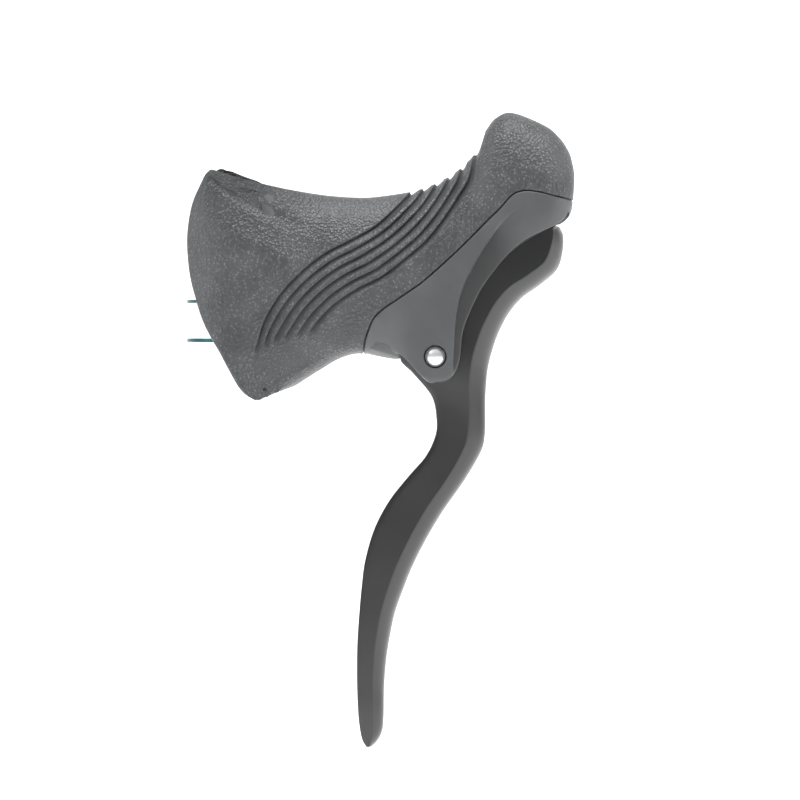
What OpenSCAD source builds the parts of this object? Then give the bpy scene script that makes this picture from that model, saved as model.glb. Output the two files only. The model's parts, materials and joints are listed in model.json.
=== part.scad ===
// Drop-bar brake lever: rubber hood over a moulded bracket, band clamp, and a hinged lever blade.
// Millimetres. The origin is the centre of the bar clamp. +X is forward, +Z is up along the bar, +Y is left.

/* [Bar clamp] */
// Diameter of the handlebar that the band grips
bar_d = 24; // [23.8:0.1:24.2]
// Width of the clamp band, along the bar
band_w = 10.5; // [9:0.5:11]
// Thickness of the clamp band
band_t = 1; // [0.8:0.1:1.2]
// How far the clamp bolt leans up towards the front, in degrees
bolt_tilt = 14; // [13:0.5:15]
// Diameter of the clamp bolt
bolt_d = 6; // [5:1:6]
// How far the band backs off when the bolt is loosened
clamp_travel = 1.5; // [1:0.1:1.5]

/* [Pivot] */
// Diameter of the pivot pin
pin_d = 5; // [4.8:0.1:5.2]
// Half the gap between the bracket's two ears
slot_half = 8.2; // [8.1:0.1:8.4]
// Half the width of the lever blade at the pivot
lever_half = 7.4; // [7.2:0.1:7.4]
// Thickness of the lever blade's side walls
lever_wall = 1.8; // [1.6:0.1:2]

/* [Cable] */
// Diameter of the brake cable's outer housing
housing_d = 5; // [4.8:0.1:5.1]
// Diameter of the head on the brake cable's inner wire
cable_head_d = 6; // [5.8:0.1:6.2]

/* [Hood] */
// Thickness of the rubber hood
hood_t = 2.2; // [1.8:0.1:2.4]
// Number of points round the hood and bracket
skin_points = 24; // [24:4:40]

/* [Hidden] */
$fn = 48;

bar_r = bar_d / 2;
bolt_r = bolt_d / 2;
pin_r = pin_d / 2;
far = 200;

pivot = [49, -9];
anchor = [60.5, 15.3];
ferrule_seat = [22, 24];
cable_run = anchor - ferrule_seat;
cable_lean = atan2(-cable_run[1], cable_run[0]);
cable_length = norm(cable_run);

colour_rubber = [0.10, 0.10, 0.105];
colour_moulding = [0.16, 0.165, 0.17];
colour_blade = [0.08, 0.085, 0.09];
colour_steel = [0.75, 0.76, 0.77];
colour_zinc = [0.66, 0.72, 0.72];
colour_nylon = [0.85, 0.84, 0.8];
colour_brass = [0.72, 0.58, 0.3];

// ---- Curves ----

function mix(a, b, t) = a + (b - a) * t;

// A point on the smooth curve through a list of points, where at runs from 0 to len(points) - 1.
function on_curve(points, at) =
    let (
        last = len(points) - 1,
        i = min(floor(at), last - 1),
        t = at - i,
        b = points[i],
        c = points[i + 1],
        a = i > 0 ? points[i - 1] : 2 * b - c,
        d = i < last - 1 ? points[i + 2] : 2 * c - b
    )
    0.5 * (2 * b + (c - a) * t + (2 * a - 5 * b + 4 * c - d) * t * t + (3 * b - a - 3 * c + d) * t * t * t);

function smooth(points, steps) =
    [for (k = [0 : steps * (len(points) - 1)]) on_curve(points, k / steps)];

// ---- The outer skin that the hood and the bracket share ----

// Each station is [top x, top z, bottom x, bottom z, half width, squareness above, squareness below].
stations = [
    [24.0, 31.2, 20.0, -12.4, 13.9, 2.3, 2.6],
    [28.5, 30.9, 25.4, -9.3, 13.5, 2.35, 3.0],
    [34.0, 31.0, 31.0, -8.2, 13.3, 2.4, 3.4],
    [44.0, 32.6, 39.0, -10.5, 13.1, 2.6, 4.0],
    [52.2, 35.9, 44.0, -28.0, 13.0, 3.1, 3.6],
    [58.6, 41.4, 54.0, -28.0, 12.9, 3.2, 3.4],
    [61.9, 47.9, 60.5, -12.5, 12.9, 3.05, 3.2],
    [64.6, 51.0, 63.5, -3.5, 12.9, 2.9, 3.0],
    [68.6, 52.1, 67.0, 5.0, 13.0, 2.7, 2.8],
    [76.5, 48.8, 73.0, 12.0, 12.7, 2.5, 2.5],
    [80.2, 45.7, 77.0, 15.5, 12.0, 2.4, 2.4],
    [82.5, 42.2, 80.2, 19.5, 10.4, 2.3, 2.3],
    [83.4, 39.2, 82.4, 24.5, 8.2, 2.2, 2.2],
    [83.8, 37.0, 83.5, 30.0, 5.5, 2.1, 2.1]
];

// The rim round the bar, from its top to its foot: [angle back round the bar, radius, z].
rim_curve = [
    [0, 13.8, 32.4], [45, 13.6, 33.4], [85, 14.0, 35.2], [116, 14.6, 37.7], [134, 15.8, 29.0], [147, 15.6, 17.6],
    [133, 15.8, 4.8], [108, 16.4, -7.5], [78, 16.4, -17.0], [60, 15.6, -20.0], [28, 13.8, -18.2], [0, 13.8, -16.0]
];

// From here on, an inset also pulls the nose back.
nose_from = 66;

function signed_power(v, p) = sign(v) * pow(abs(v), p);

// A point on a station's ring. around is 90 at the top, 0 at the right side and -90 at the foot.
function ring_point(station, around, inset) =
    let (
        back = [inset * max(0, station[0] - nose_from) / (stations[len(stations) - 1][0] - nose_from), 0],
        top = [station[0], station[1]] - back,
        foot = [station[2], station[3]] - back,
        half = norm(top - foot) / 2,
        up = (top - foot) / norm(top - foot),
        power = 2 / (sin(around) < 0 ? station[6] : station[5]),
        lift = (half - inset) * signed_power(sin(around), power),
        out = (station[4] - inset) * signed_power(cos(around), power),
        centre = (top + foot) / 2 + up * lift
    )
    [centre[0], -out, centre[1]];

// A point on the rim, where around runs as it does on a ring.
function rim_point(around, inset) =
    let (
        right = abs(around) <= 90,
        folded = right ? around : sign(around) * 180 - around,
        rim = on_curve(rim_curve, (90 - folded) / 180 * (len(rim_curve) - 1)),
        back = right ? rim[0] : -rim[0],
        r = rim[1] - inset
    )
    [r * cos(back), -r * sin(back), rim[2] - inset * sin(around)];

// Rings from the rim, swept in to the first station, then on through every station to the nose.
flare_rings = 5;
function flare_point(share, around, inset) =
    let (
        start = rim_point(around, inset),
        end = ring_point(stations[0], around, inset),
        back = max(90, atan2(abs(start[1]), start[0])),
        reach = (end[0] - start[0]) * 0.44,
        onward = ring_point(stations[1], around, inset) - end,
        // The skin leaves the rim round the bar, and meets the first station running on to the second.
        start_pull = start + reach * [sin(back), sign(start[1]) * -cos(back), -0.1 * sin(around)],
        end_pull = end - 0.8 * reach * onward / norm(onward),
        s = 1 - share
    )
    s * s * s * start + 3 * s * s * share * start_pull + 3 * s * share * share * end_pull + share * share * share * end;

function skin_rings(inset, n) = concat(
    [for (k = [0 : flare_rings - 1]) [for (i = [0 : n - 1]) flare_point(k / flare_rings, around_at(i, n), inset)]],
    [for (station = stations) [for (i = [0 : n - 1]) ring_point(station, around_at(i, n), inset)]]
);
function around_at(i, n) = let (a = 90 - 360 * i / n) a < -180 ? a + 360 : a;

// A closed solid from rings of points, with a flat fan at each end.
module ring_solid(rings) {
    n = len(rings[0]);
    count = len(rings);
    points = concat([for (ring = rings) each ring], [mean(rings[0])], [mean(rings[count - 1])]);
    sides = [for (k = [0 : count - 2], i = [0 : n - 1], half = [0, 1])
        half == 0
            ? [k * n + i, (k + 1) * n + (i + 1) % n, k * n + (i + 1) % n]
            : [k * n + i, (k + 1) * n + i, (k + 1) * n + (i + 1) % n]];
    rear = [for (i = [0 : n - 1]) [count * n, i, (i + 1) % n]];
    front = [for (i = [0 : n - 1]) [count * n + 1, (count - 1) * n + (i + 1) % n, (count - 1) * n + i]];
    polyhedron(points = points, faces = concat(sides, rear, front), convexity = 8);
}
function mean(ring) = [for (k = [0 : 2]) sum([for (p = ring) p[k]]) / len(ring)];
function sum(values, i = 0) = i < len(values) ? values[i] + sum(values, i + 1) : 0;

module skin(inset, n = skin_points) {
    ring_solid(skin_rings(inset, n));
}

// Keeps small flat faces in one mesh, so that only the true rounds are cut into it afterwards.
module as_mesh() {
    minkowski() {
        union() children();
    }
}

// A side outline, given in X and Z, made solid across the part.
module across(half, points) {
    translate([0, half, 0]) rotate([90, 0, 0]) linear_extrude(height = 2 * half) polygon(points);
}

// A cylinder across the part, from one side to the other.
module cross_pin(at, r, from, to) {
    translate([at[0], to, at[1]]) rotate([90, 0, 0]) cylinder(r = r, h = to - from);
}

// Along the clamp bolt: z is the distance forward from the bar's centre.
module along_bolt() {
    rotate([0, -bolt_tilt, 0]) rotate([0, 90, 0]) children();
}

// Along the cable: z is the distance forward from the anchor's centre.
module along_cable() {
    translate([anchor[0], 0, anchor[1]]) rotate([0, cable_lean, 0]) rotate([0, 90, 0]) children();
}

// ---- Side outlines ----

// The seam where the hood's lower edge meets the bracket.
seam = concat(
    [[31.1, -40]],
    smooth([[31.1, -8.2], [32.5, -1.9], [35.5, 2.5], [45.5, 9.5], [54.9, 17.9], [65.6, 28.6], [71.6, 32.4],
        [79, 31.3], [83.2, 30.1]], 4),
    [[95, 27]]
);

// The bracket's own lower edge: floor, ear round the pivot, and the curve behind the lever.
ear_edge = concat(
    [[20, -40], [20, -8.4], [31.1, -8.2], [38.8, -9.5], [40.8, -9.3]],
    smooth([[42.9, -11.2], [46.2, -14.6], [49.5, -15.4], [52.9, -14.2], [54.8, -11], [55.9, -2.5], [60.2, 7.5],
        [67.6, 16.9], [75.6, 22.2], [79.6, 24.2]], 3),
    [[82.6, 26.5], [95, 26.5], [95, -40]]
);

// The slot between the ears, which the lever swings in.
slot_roof = [
    [39.3, -40], [39.3, -7.6], [41, -1.5], [45, 3.5], [52, 11], [54, 17.5], [58.5, 22.4], [66, 24.8], [75.5, 27.2],
    [95, 27.2], [95, -40]
];

lever_front = smooth([
    [79.2, 23.7], [80.7, 22.6], [81.1, 19.5], [80.4, 14.4], [76.8, 10.0], [71, 6.1], [67.2, 1.8], [63.9, -5.6],
    [62, -14.6], [61.6, -28.2], [58.9, -35.6], [50.9, -47.6], [43.5, -61], [39, -73], [36.8, -85],
    [36.1, -98.5], [34.9, -104.3], [32.4, -106.7]
], 3);
lever_back = smooth([
    [31.1, -105.2], [30.2, -96], [29.7, -82], [30.6, -67.7], [32.6, -55.6], [37.6, -44.9], [45.4, -35.6],
    [49, -28.9], [49.3, -22.4], [46.4, -16.1], [43, -12.7],
    [40.4, -9.6], [41.4, -7.2], [44.4, -3.6], [48.6, 1.5], [54.2, 9.5], [56.2, 16.4],
    [60.6, 20.6], [67, 22.4], [75, 23.8]
], 3);

// The hollow of the lever, open to the back, from the anchor down to the middle of the blade.
lever_hollow = concat(
    [[76, 40]],
    smooth([[77.4, 21], [78.6, 18.5], [78.1, 15.2], [75, 11.9], [69.6, 8.8], [65.1, 3.9], [61.2, -4.2],
        [59.4, -14.5], [59.2, -27.6], [56.4, -34.5], [51, -42]], 3),
    [[30, -38], [30, 40]]
);

// ---- Bracket and hood ----

module bracket_body() {
    color(colour_moulding) difference() {
        as_mesh() difference() {
            union() {
                intersection() {
                    skin(hood_t + 0.1, 16);
                    translate([6, -20, -20]) cube([far, 40, far]);
                }
                difference() {
                    skin(0.3);
                    across(30, concat([[-40, -40]], seam, [[95, 80], [-40, 80]]));
                }
            }
            across(30, ear_edge);
            across(slot_half, slot_roof);
        }
        // saddle that the bar seats in
        translate([0, 0, -far / 2]) cylinder(r = bar_r, h = far, $fn = 96);
        // pocket behind the housing ferrule, where the housing bends away from the bar
        translate([-10, -8, 18.5]) cube([28, 16, 30]);
        // window for the band's tails and the nut
        clamp_window();
        // pivot pin and its two sunk seats
        cross_pin(pivot, pin_r + 0.02, -30, 30);
        cross_pin(pivot, pin_r + 0.3, -30, -11.4);
        cross_pin(pivot, pin_r + 0.3, 11.4, 30);
        // lock screw, from under the left ear
        translate([pivot[0], 10.3, pivot[1] - 12]) cylinder(r = 1.5, h = 12);
        // clamp bolt, its head and the key's way in
        along_bolt() cylinder(r = bolt_r + 0.25, h = 45);
        along_bolt() translate([0, 0, 38]) cylinder(r = 5.8, h = 60);
        // ferrule, liner and the wire's way out
        along_cable() translate([0, 0, -cable_length - 12]) cylinder(r = 3.3, h = 15);
        along_cable() translate([0, 0, -cable_length]) cylinder(r = 1.6, h = cable_length);
    }
}

// The window that the band, its bridge and the nut move in.
module clamp_window() {
    rotate([0, -bolt_tilt / 2, 0]) translate([0, 0, -9]) linear_extrude(height = 18)
        polygon([[-2, -16], [8, -13.4], [26.6, -6.2], [26.6, 6.2], [8, 13.4], [-2, 16]]);
}

module rubber_hood() {
    color(colour_rubber) as_mesh() difference() {
        skin(0);
        skin_core();
        across(30, concat(seam, [[95, -40]]));
        translate([0, 0, -far / 2]) cylinder(r = bar_r + band_t + 0.4, h = far);
        // room for the band to loosen
        translate([-clamp_travel, 0, 0]) cylinder(r = bar_r + band_t + 0.4, h = band_w + 3, center = true);
    }
}

// The space inside the hood, run on past the rim.
module skin_core() {
    rings = skin_rings(hood_t, skin_points);
    ring_solid(concat([[for (p = rings[0]) p - [20, 0, 0]]], rings));
}

// ---- Bar clamp ----

tangent_angle = 62;
bridge_at = 22;
bridge_half = 4.6;

module clamp_band() {
    tail_start = [bar_r * cos(tangent_angle), bar_r * sin(tangent_angle)];
    color(colour_zinc) difference() {
        union() {
            difference() {
                cylinder(r = bar_r + band_t, h = band_w, center = true, $fn = 96);
                cylinder(r = bar_r, h = band_w + 1, center = true, $fn = 96);
                translate([0, 0, -10]) linear_extrude(height = 20) polygon([
                    [0, 0], [30 * cos(tangent_angle), 30 * sin(tangent_angle)], [40, 0],
                    [30 * cos(tangent_angle), -30 * sin(tangent_angle)]]);
            }
            for (side = [-1, 1]) hull() {
                translate([tail_start[0], side * (tail_start[1] + 0.45), 0])
                    rotate([0, 0, -side * (90 - tangent_angle)]) cube([0.4, band_t, band_w], center = true);
                along_bolt() translate([0, side * bridge_half, bridge_at + 0.6])
                    cube([band_w, band_t, 1.2], center = true);
            }
            along_bolt() translate([0, 0, bridge_at + 0.6]) cube([band_w, 2 * bridge_half, 1.2], center = true);
        }
        along_bolt() cylinder(r = bolt_r + 0.25, h = 40);
        cylinder(r = bar_r, h = 40, center = true, $fn = 96);
    }
}

module clamp_nut() {
    color(colour_zinc) along_bolt() difference() {
        translate([-4.4, -3.6, bridge_at - 6.2]) cube([8.8, 7.2, 6.15]);
        cylinder(r = bolt_r + 0.02, h = 40);
    }
}

module clamp_bolt() {
    color(colour_steel) along_bolt() difference() {
        union() {
            translate([0, 0, 15]) cylinder(r = bolt_r, h = 24.5);
            translate([0, 0, 39.25]) cylinder(r = 5, h = 6);
        }
        translate([0, 0, 42.3]) cylinder(r = 5 / sqrt(3), h = 5, $fn = 6);
    }
}

module clamp_washer() {
    color(colour_zinc) along_bolt() translate([0, 0, 38]) difference() {
        cylinder(r = 5.4, h = 1.2);
        translate([0, 0, -1]) cylinder(r = bolt_r + 0.15, h = 4);
    }
}

// A split ring that keeps the bolt in the bracket when the nut is off.
module bolt_keeper_ring() {
    color(colour_steel) along_bolt() translate([0, 0, 24]) difference() {
        cylinder(r = bolt_r + 1.2, h = 0.8);
        translate([0, 0, -1]) cylinder(r = bolt_r + 0.02, h = 3);
        translate([0, -0.8, -1]) cube([10, 1.6, 3]);
    }
}

// ---- Pivot ----

module pivot_pin() {
    color(colour_steel) difference() {
        union() {
            cross_pin(pivot, pin_r, -11.6, 11.6);
            for (side = [-1, 1]) translate([pivot[0], side * 11.6, pivot[1]]) intersection() {
                translate([0, -side * 3.9, 0]) sphere(r = 4.65);
                rotate([90, 0, 0]) cylinder(r = pin_r, h = 3, center = true);
            }
        }
        // flat that the lock screw bears on
        translate([pivot[0] - 3, 8.8, pivot[1] - 4.1]) cube([6, 3.2, 2]);
    }
}

module pivot_lock_screw() {
    color(colour_steel) translate([pivot[0], 10.3, pivot[1] - 5.6]) difference() {
        cylinder(r = 1.45, h = 3.4);
        translate([0, 0, -0.1]) cylinder(r = 1.5 / sqrt(3), h = 1.6, $fn = 6);
    }
}

module spring_sleeve() {
    color(colour_nylon) difference() {
        cross_pin(pivot, 3.3, -5.4, 5.4);
        cross_pin(pivot, pin_r + 0.03, -6, 6);
    }
}

// ---- Return spring ----

spring_r = 4.5;
spring_wire = 1.1;
spring_turns = 5;
spring_half = 3.6;

// The spring's centreline: the back leg, the coil round the sleeve, and the front leg.
spring_line = concat(
    [[42.9, -spring_half, -0.9], [43.8, -spring_half, -2.6]],
    [for (k = [0 : spring_turns * 10]) let (a = 140 - 360 * k / 10)
        [pivot[0] + spring_r * cos(a), -spring_half + 2 * spring_half * k / (spring_turns * 10),
            pivot[1] + spring_r * sin(a)]],
    [[55, spring_half, -3.6], [58, spring_half, -1.6], [62, spring_half, 0.6]]
);

module return_spring() {
    color(colour_steel) tube(spring_line, spring_wire / 2, 6);
}

// A round wire along a line of points.
module tube(line, r, sides) {
    last = len(line) - 1;
    rings = [for (k = [0 : last])
        let (
            ahead = line[min(k + 1, last)] - line[max(k - 1, 0)],
            t = ahead / norm(ahead),
            flat = cross(t, [0, 1, 0]),
            u = flat / norm(flat),
            v = cross(t, u)
        )
        [for (i = [0 : sides - 1]) line[k] + r * (u * cos(360 * i / sides) + v * sin(360 * i / sides))]];
    ring_solid(rings);
}

module lever_stop_pad() {
    color(colour_rubber) across(slot_half - 0.1, [
        [76.6, 24.3], [80.2, 24.2], [81.6, 25.1], [82.6, 26.3], [82.4, 27.15], [76.6, 27.15]]);
}

// ---- Cable parts in the bracket ----

module housing_ferrule() {
    color(colour_brass) along_cable() translate([0, 0, -cable_length - 5]) difference() {
        cylinder(r = 3.25, h = 7.9);
        translate([0, 0, -1]) cylinder(r = housing_d / 2 + 0.1, h = 7);
        translate([0, 0, -1]) cylinder(r = 1.1, h = 12);
    }
}

module cable_liner() {
    color(colour_nylon) along_cable() translate([0, 0, -cable_length + 3]) difference() {
        cylinder(r = 1.55, h = cable_length - 13);
        translate([0, 0, -1]) cylinder(r = 0.95, h = cable_length);
    }
}

// ---- Lever blade and what turns with it ----

module lever_blade() {
    color(colour_blade) difference() {
        intersection() {
            across(lever_half, concat(lever_front, lever_back));
            lever_front_view();
        }
        across(lever_half - lever_wall, lever_hollow);
        for (side = [-1, 1]) {
            cross_pin(pivot, 3.6, min(side * 5, side * 9), max(side * 5, side * 9));
            cross_pin(anchor, 3.2, min(side * 5, side * 9), max(side * 5, side * 9));
        }
    }
}

// The lever seen from the front: full width at the pivot, narrowing to the tip.
module lever_front_view() {
    edge = smooth([[lever_half, 30], [lever_half, -12], [6.4, -26], [6.1, -45], [6.0, -66], [5.3, -88],
        [4.3, -101], [2.9, -106.9]], 4);
    outline = concat(edge, [for (i = [len(edge) - 1 : -1 : 0]) [-edge[i][0], edge[i][1]]]);
    rotate([90, 0, 90]) linear_extrude(height = far) polygon(outline);
}

// A flanged bush pressed into one of the lever's walls from outside.
module wall_bush(at, bore_r, body_r, flange_r, side) {
    inner = side * (lever_half - lever_wall);
    outer = side * lever_half;
    color(colour_nylon) difference() {
        union() {
            cross_pin(at, body_r, min(inner, outer), max(inner, outer));
            cross_pin(at, flange_r, min(outer, outer + side * 0.6), max(outer, outer + side * 0.6));
        }
        cross_pin(at, bore_r, -20, 20);
    }
}

module cable_anchor() {
    journal = lever_half + 0.3;
    color(colour_steel) difference() {
        union() {
            cross_pin(anchor, 4.6, -4.9, 4.9);
            cross_pin(anchor, 2.4, -journal, journal);
        }
        along_cable() {
            translate([0, 0, 3]) cylinder(r = 6, h = 5);
            translate([0, 0, -0.8]) cylinder(r = cable_head_d / 2 + 0.1, h = 10);
            translate([0, 0, -10]) cylinder(r = 1, h = 12);
        }
    }
}

bracket_body();
rubber_hood();
clamp_band();
clamp_nut();
clamp_bolt();
clamp_washer();
bolt_keeper_ring();
pivot_pin();
pivot_lock_screw();
spring_sleeve();
return_spring();
lever_stop_pad();
housing_ferrule();
cable_liner();
lever_blade();
wall_bush(pivot, pin_r + 0.05, 3.6, 5, 1);  // pivot_bush_left
wall_bush(pivot, pin_r + 0.05, 3.6, 5, -1);  // pivot_bush_right
cable_anchor();
wall_bush(anchor, 2.45, 3.2, 3.9, 1);  // anchor_bush_left
wall_bush(anchor, 2.45, 3.2, 3.9, -1);  // anchor_bush_right
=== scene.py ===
"""A brake lever for a drop handlebar: hood, bracket, hinged blade, pivot, cable seat and bar clamp.

Sizes are in millimetres in the part's own frame, +X forward, +Y left and +Z up along the bar, and each
finished mesh is brought to metres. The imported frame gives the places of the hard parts.
"""

import json
import logging
import math
from dataclasses import dataclass, field
from enum import Enum
from typing import Callable, Iterable, Sequence

import bmesh
import bpy
from mathutils import Matrix, Vector

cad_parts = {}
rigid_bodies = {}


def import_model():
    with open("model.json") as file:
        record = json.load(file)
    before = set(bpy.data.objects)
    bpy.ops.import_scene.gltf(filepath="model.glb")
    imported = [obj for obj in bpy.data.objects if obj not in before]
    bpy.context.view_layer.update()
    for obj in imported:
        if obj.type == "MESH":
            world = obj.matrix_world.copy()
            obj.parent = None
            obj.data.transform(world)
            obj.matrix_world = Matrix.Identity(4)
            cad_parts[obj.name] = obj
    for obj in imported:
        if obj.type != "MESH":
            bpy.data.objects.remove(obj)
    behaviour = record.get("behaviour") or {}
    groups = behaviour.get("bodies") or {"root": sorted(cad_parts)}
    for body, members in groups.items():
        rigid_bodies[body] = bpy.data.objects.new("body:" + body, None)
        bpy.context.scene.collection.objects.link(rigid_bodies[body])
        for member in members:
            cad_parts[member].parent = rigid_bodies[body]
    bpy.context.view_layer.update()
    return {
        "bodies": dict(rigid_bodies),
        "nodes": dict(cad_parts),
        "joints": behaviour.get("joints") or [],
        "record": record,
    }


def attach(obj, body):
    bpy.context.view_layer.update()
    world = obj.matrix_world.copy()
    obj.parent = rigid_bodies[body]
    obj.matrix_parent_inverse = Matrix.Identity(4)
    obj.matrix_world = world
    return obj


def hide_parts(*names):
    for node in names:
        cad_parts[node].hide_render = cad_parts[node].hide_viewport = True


MM = 0.001
FAR = 9.0
LOG = logging.getLogger("brake_lever")

Numbers = tuple[float, ...]
Colour = tuple[float, float, float]
Placing = Callable[[float, float], Sequence[float]]
BMesh = bmesh.types.BMesh
BMVert = bmesh.types.BMVert


# ---- Curves ----


def catmull(points: Sequence[Numbers], at: float) -> list[float]:
    """A point on the smooth curve through a list of points.

    Args:
        points: the points, each a tuple of the same length.
        at: the place along the curve, from 0 at the first point to len(points) - 1 at the last.

    Returns:
        The coordinates of the point.
    """
    last = len(points) - 1
    i = min(int(at), last - 1)
    t = at - i
    b = points[i]
    c = points[i + 1]
    a = points[i - 1] if i > 0 else [2 * p - q for p, q in zip(b, c)]
    d = points[i + 2] if i < last - 1 else [2 * q - p for p, q in zip(b, c)]
    return [
        0.5 * (2 * q + (r - p) * t + (2 * p - 5 * q + 4 * r - s) * t * t + (3 * q - p - 3 * r + s) * t**3)
        for p, q, r, s in zip(a, b, c, d)
    ]


def smoothstep(t: float) -> float:
    """Eases from 0 to 1 as t goes from 0 to 1."""
    t = min(max(t, 0.0), 1.0)
    return t * t * (3 - 2 * t)


def signed_power(value: float, power: float) -> float:
    """The power of a number's size, with the number's sign."""
    return math.copysign(abs(value) ** power, value)


def rounded_edge(distance: float, radius: float) -> float:
    """How far a surface drops at a distance from an edge that is rounded to a radius."""
    if distance >= radius:
        return 0.0
    return radius - math.sqrt(max(radius**2 - (radius - max(distance, 0.0)) ** 2, 0.0))


class Graph:
    """A smooth function of one number, through given points."""

    def __init__(self, points: Iterable[Numbers]) -> None:
        """Args:
            points: pairs of the number and the value there, in rising order.
        """
        self.x = [p[0] for p in points]
        self.y = [p[1] for p in points]
        steps = [(self.y[i + 1] - self.y[i]) / (self.x[i + 1] - self.x[i]) for i in range(len(self.x) - 1)]
        inner = [(a + b) / 2 for a, b in zip(steps, steps[1:])]
        self.slope = [steps[0], *inner, steps[-1]]

    def __call__(self, x: float) -> float:
        """The value at a place.

        Args:
            x: the place.

        Returns:
            The value, carried on in a straight line past either end.
        """
        if x <= self.x[0]:
            return self.y[0] + self.slope[0] * (x - self.x[0])
        if x >= self.x[-1]:
            return self.y[-1] + self.slope[-1] * (x - self.x[-1])
        i = next(k for k in range(len(self.x) - 1) if x <= self.x[k + 1])
        width = self.x[i + 1] - self.x[i]
        t = (x - self.x[i]) / width
        h = t * t * (3 - 2 * t)
        ease_in = t * (1 - t) ** 2 * width
        ease_out = t * t * (t - 1) * width
        eased = self.y[i] * (1 - h) + self.y[i + 1] * h
        return eased + self.slope[i] * ease_in + self.slope[i + 1] * ease_out


class SideLine:
    """A line seen from the side: a graph in axes that are turned up from X by an angle."""

    def __init__(self, degrees: float, points: Iterable[Numbers]) -> None:
        """Args:
            degrees: how far the axes are turned up.
            points: X and Z of points on the line, from its rear foot up to its front.
        """
        self.cos = math.cos(math.radians(degrees))
        self.sin = math.sin(math.radians(degrees))
        self.graph = Graph([(self.along(x, z), z * self.cos - x * self.sin) for x, z in points])

    def along(self, x: float, z: float) -> float:
        """How far along the turned axis a place is."""
        return x * self.cos + z * self.sin

    def above(self, x: float, z: float) -> float:
        """How far above the line a place is, across the turned axis."""
        return z * self.cos - x * self.sin - self.graph(self.along(x, z))

    def straighten(self, co: Vector) -> Vector:
        """Moves a point to where the line is straight: along, across the part, above."""
        return Vector((self.along(co.x, co.z), co.y, self.above(co.x, co.z)))

    def restore(self, co: Vector) -> Vector:
        """The opposite of straighten."""
        across = co.z + self.graph(co.x)
        return Vector((co.x * self.cos - across * self.sin, co.y, co.x * self.sin + across * self.cos))


class BlendedLine(SideLine):
    """A line a share of the way from one side line to another with the same axes."""

    def __init__(self, first: SideLine, second: SideLine, share: float) -> None:
        """Args:
            first: the line at share 0.
            second: the line at share 1.
            share: how far this line is from the first to the second.
        """
        self.cos = first.cos
        self.sin = first.sin
        self.graph = lambda u: first.graph(u) * (1 - share) + second.graph(u) * share


def cut_along(
    bm: BMesh, line: SideLine, cuts: Sequence[tuple[float, float]], drop_above: bool = False,
    drop_below: bool = False,
) -> None:
    """Cuts a mesh along a side line and along others beside it.

    Args:
        bm: the mesh.
        line: the side line.
        cuts: pairs of a distance above the line and how near a vertex must be to be moved onto the cut.
        drop_above: whether what lies above the highest cut goes.
        drop_below: whether what lies below the lowest cut goes.
    """
    for vert in bm.verts:
        vert.co = line.straighten(vert.co)
    for i, (height, snap) in enumerate(cuts):
        bmesh.ops.bisect_plane(
            bm, geom=bm.verts[:] + bm.edges[:] + bm.faces[:], dist=snap, plane_co=(0, 0, height),
            plane_no=(0, 0, 1), use_snap_center=True, clear_outer=drop_above and i == len(cuts) - 1,
            clear_inner=drop_below and i == 0,
        )
    for vert in bm.verts:
        vert.co = line.restore(vert.co)


# ---- Meshes ----


def mapped_grid(columns: int, rows: int, place: Placing) -> BMesh:
    """A sheet of four-sided faces, bent so that each vertex goes where a function says.

    Args:
        columns: the number of faces across.
        rows: the number of faces up.
        place: takes how far across and how far up a vertex is, each from 0 to 1, and returns its place.

    Returns:
        The sheet, with vertices that fell together joined.
    """
    bm = bmesh.new()
    bmesh.ops.create_grid(bm, x_segments=columns, y_segments=rows, size=0.5)
    for vert in bm.verts:
        vert.co = Vector(place(vert.co.x + 0.5, vert.co.y + 0.5))
    bmesh.ops.remove_doubles(bm, verts=bm.verts[:], dist=1e-4)
    bmesh.ops.dissolve_degenerate(bm, edges=bm.edges[:], dist=1e-5)
    bmesh.ops.recalc_face_normals(bm, faces=bm.faces[:])
    bm.normal_update()
    return bm


@dataclass(frozen=True)
class Wall:
    """A sheet that has been given a second wall inside it.

    Each vertex of either wall has the number of the vertex it came from, and so the direction out of the
    sheet there.
    """

    inner: set[BMVert]
    number: dict[BMVert, int]
    outward: list[Vector]

    def out(self, vert: BMVert) -> Vector:
        """The direction out of the sheet at a vertex of either wall."""
        return self.outward[self.number[vert]]


def thicken(bm: BMesh, thickness: float) -> Wall:
    """Gives an open sheet a second wall inside the first, joined at its edges.

    Args:
        bm: the sheet.
        thickness: the distance between the walls.

    Returns:
        What is known of the two walls.
    """
    bm.normal_update()
    bm.verts.index_update()
    outward = [vert.normal.copy() for vert in bm.verts]
    source = bm.verts.layers.int.new("source")
    for vert in bm.verts:
        vert[source] = vert.index
    made = bmesh.ops.extrude_face_region(bm, geom=bm.faces[:], use_keep_orig=True)["geom"]
    inner = {item for item in made if isinstance(item, BMVert)}
    number = {vert: vert[source] for vert in bm.verts}
    for vert in inner:
        vert.co -= outward[number[vert]] * thickness
    return Wall(inner, number, outward)


def to_object(bm: BMesh, name: str, sharp: float = 38.0) -> bpy.types.Object:
    """Makes a smooth-shaded object of a mesh that is in millimetres.

    Args:
        bm: the mesh, which is freed.
        name: the object's name.
        sharp: faces that meet at more than this many degrees keep a hard edge between them.

    Returns:
        The object, with its mesh in metres.
    """
    mesh = bpy.data.meshes.new(name)
    bm.to_mesh(mesh)
    bm.free()
    mesh.transform(Matrix.Scale(MM, 4))
    mesh.shade_smooth()
    mesh.set_sharp_from_angle(angle=math.radians(sharp))
    piece = bpy.data.objects.new(name, mesh)
    bpy.context.scene.collection.objects.link(piece)
    return piece


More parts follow.
